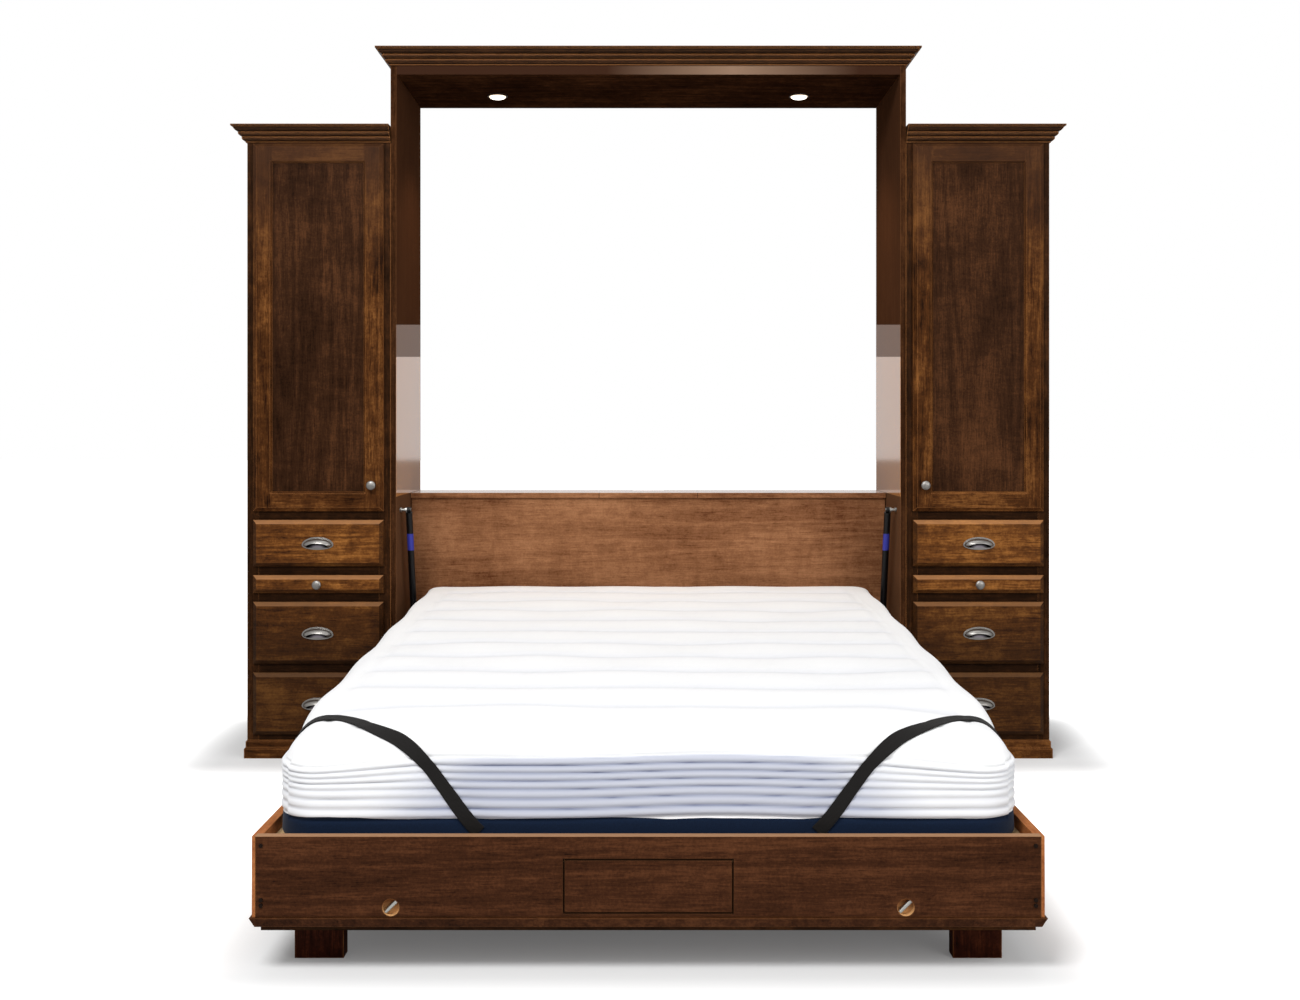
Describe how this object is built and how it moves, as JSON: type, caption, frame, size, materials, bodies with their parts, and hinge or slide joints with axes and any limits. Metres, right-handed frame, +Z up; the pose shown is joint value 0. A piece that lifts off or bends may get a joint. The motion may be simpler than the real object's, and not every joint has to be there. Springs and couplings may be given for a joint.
{
  "type": "wall bed",
  "caption": "Wall bed that folds down from a crowned cabinet flanked by cupboard piers with doors, drawers and pull-out trays, with a ledge headboard, folding legs and gas struts.",
  "frame": {"origin": "on the floor, at the middle of the overall footprint with the bed down", "axes": "+X to the right seen from the foot of the bed, +Y towards the wall, +Z up"},
  "size_m": [2.736, 2.355, 2.34],
  "materials": {
    "dark_wood": "satin lacquer",
    "warm_wood": "satin lacquer",
    "edge_wood": "satin lacquer",
    "plain_wood": "matte",
    "pewter": "aged satin",
    "steel": "satin",
    "black_steel": "gloss",
    "chrome_rod": "polished",
    "dark_metal": "satin",
    "lens": "frosted",
    "mattress_fabric": "quilted",
    "webbing": "woven"
  },
  "bodies": {
    "cabinet": {"cabinet_side_left": "dark_wood", "cabinet_side_right": "dark_wood", "cabinet_top": "dark_wood", "wall_cleats": "plain_wood", "puck_light_housings": "dark_metal", "puck_light_lenses": "lens", "cabinet_crown": "dark_wood", "pier_crowns": "dark_wood", "cabinet_pins": "steel", "pier_face_frames": "dark_wood", "pier_bases": "dark_wood", "pier_carcass_left": "dark_wood", "pier_carcass_right": "dark_wood"},
    "bed": {"bed_rails": "edge_wood", "bed_head_rail": "dark_wood", "footboard": "dark_wood", "footboard_insert": "dark_wood", "deck_panel": "plain_wood", "deck_supports": "plain_wood", "face_panel": "dark_wood", "face_frame": "warm_wood", "bed_hardware": "steel", "mattress": "mattress_fabric", "mattress_straps": "webbing"},
    "ledge": {"headboard_ledge": "dark_wood"},
    "headboard": {"headboard_panel": "warm_wood"},
    "strut_tube_left": {"strut_tube_left": "black_steel"},
    "strut_rod_left": {"strut_rod_left": "chrome_rod"},
    "strut_tube_right": {"strut_tube_right": "black_steel"},
    "strut_rod_right": {"strut_rod_right": "chrome_rod"},
    "leg_left": {"leg_left": "dark_wood"},
    "leg_right": {"leg_right": "dark_wood"},
    "bottom_drawer_left": {"bottom_drawer_front_left": "warm_wood", "bottom_drawer_box_left": "plain_wood", "bottom_drawer_pull_left": "pewter"},
    "middle_drawer_left": {"middle_drawer_front_left": "warm_wood", "middle_drawer_box_left": "plain_wood", "middle_drawer_pull_left": "pewter"},
    "top_drawer_left": {"top_drawer_front_left": "warm_wood", "top_drawer_box_left": "plain_wood", "top_drawer_pull_left": "pewter"},
    "tray_left": {"tray_left": "warm_wood", "tray_knob_left": "pewter"},
    "door_left": {"door_frame_left": "warm_wood", "door_panel_left": "dark_wood", "door_knob_left": "pewter"},
    "bottom_drawer_right": {"bottom_drawer_front_right": "warm_wood", "bottom_drawer_box_right": "plain_wood", "bottom_drawer_pull_right": "pewter"},
    "middle_drawer_right": {"middle_drawer_front_right": "warm_wood", "middle_drawer_box_right": "plain_wood", "middle_drawer_pull_right": "pewter"},
    "top_drawer_right": {"top_drawer_front_right": "warm_wood", "top_drawer_box_right": "plain_wood", "top_drawer_pull_right": "pewter"},
    "tray_right": {"tray_right": "warm_wood", "tray_knob_right": "pewter"},
    "door_right": {"door_frame_right": "warm_wood", "door_panel_right": "dark_wood", "door_knob_right": "pewter"}
  },
  "joints": [
    {"name": "bed_fold", "type": "hinge", "parent": "cabinet", "child": "bed", "pos_m": [0, 0.8275, 0.235], "axis": [-1, 0, 0], "range_deg": [0, 90]},
    {"name": "ledge_fold", "type": "hinge", "parent": "cabinet", "child": "ledge", "pos_m": [0, 1.1625, 0.853], "axis": [-1, 0, 0], "range_deg": [0, 90]},
    {"name": "headboard_fold", "type": "hinge", "parent": "ledge", "child": "headboard", "pos_m": [0, 0.9835, 0.844], "axis": [1, 0, 0], "range_deg": [0, 90]},
    {"name": "strut_swing_left", "type": "hinge", "parent": "cabinet", "child": "strut_tube_left", "pos_m": [-0.802, 0.7525, 0.815], "axis": [-1, 0, 0], "range_deg": [0, 5.65]},
    {"name": "strut_slide_left", "type": "slide", "parent": "strut_tube_left", "child": "strut_rod_left", "axis": [0, 0.2607, -0.9654], "range_m": [0, 0.0959]},
    {"name": "strut_swing_right", "type": "hinge", "parent": "cabinet", "child": "strut_tube_right", "pos_m": [0.802, 0.7525, 0.815], "axis": [-1, 0, 0], "range_deg": [0, 5.65]},
    {"name": "strut_slide_right", "type": "slide", "parent": "strut_tube_right", "child": "strut_rod_right", "axis": [0, 0.2607, -0.9654], "range_m": [0, 0.0959]},
    {"name": "leg_left_fold", "type": "hinge", "parent": "bed", "child": "leg_left", "pos_m": [-0.6785, -1.0355, 0.078], "axis": [1, 0, 0], "range_deg": [0, 90]},
    {"name": "leg_right_fold", "type": "hinge", "parent": "bed", "child": "leg_right", "pos_m": [0.6785, -1.0355, 0.078], "axis": [1, 0, 0], "range_deg": [0, 90]},
    {"name": "bottom_drawer_slide_left", "type": "slide", "parent": "cabinet", "child": "bottom_drawer_left", "axis": [0, -1, 0], "range_m": [0, 0.36]},
    {"name": "middle_drawer_slide_left", "type": "slide", "parent": "cabinet", "child": "middle_drawer_left", "axis": [0, -1, 0], "range_m": [0, 0.36]},
    {"name": "top_drawer_slide_left", "type": "slide", "parent": "cabinet", "child": "top_drawer_left", "axis": [0, -1, 0], "range_m": [0, 0.36]},
    {"name": "tray_slide_left", "type": "slide", "parent": "cabinet", "child": "tray_left", "axis": [0, -1, 0], "range_m": [0, 0.34]},
    {"name": "door_swing_left", "type": "hinge", "parent": "cabinet", "child": "door_left", "pos_m": [-1.3025, 0.6635, 1.421], "axis": [0, 0, -1], "range_deg": [0, 110]},
    {"name": "bottom_drawer_slide_right", "type": "slide", "parent": "cabinet", "child": "bottom_drawer_right", "axis": [0, -1, 0], "range_m": [0, 0.36]},
    {"name": "middle_drawer_slide_right", "type": "slide", "parent": "cabinet", "child": "middle_drawer_right", "axis": [0, -1, 0], "range_m": [0, 0.36]},
    {"name": "top_drawer_slide_right", "type": "slide", "parent": "cabinet", "child": "top_drawer_right", "axis": [0, -1, 0], "range_m": [0, 0.36]},
    {"name": "tray_slide_right", "type": "slide", "parent": "cabinet", "child": "tray_right", "axis": [0, -1, 0], "range_m": [0, 0.34]},
    {"name": "door_swing_right", "type": "hinge", "parent": "cabinet", "child": "door_right", "pos_m": [1.3025, 0.6635, 1.421], "axis": [0, 0, 1], "range_deg": [0, 110]}
  ],
  "couplings": [
    {"joint": "ledge_fold", "follows": "bed_fold", "ratio": 1},
    {"joint": "headboard_fold", "follows": "bed_fold", "ratio": 1},
    {"joint": "strut_swing_left", "follows": "bed_fold", "ratio": 0.062728},
    {"joint": "strut_slide_left", "follows": "bed_fold", "m_per_rad": 0.060961},
    {"joint": "strut_swing_right", "follows": "bed_fold", "ratio": 0.062728},
    {"joint": "strut_slide_right", "follows": "bed_fold", "m_per_rad": 0.060961}
  ]
}
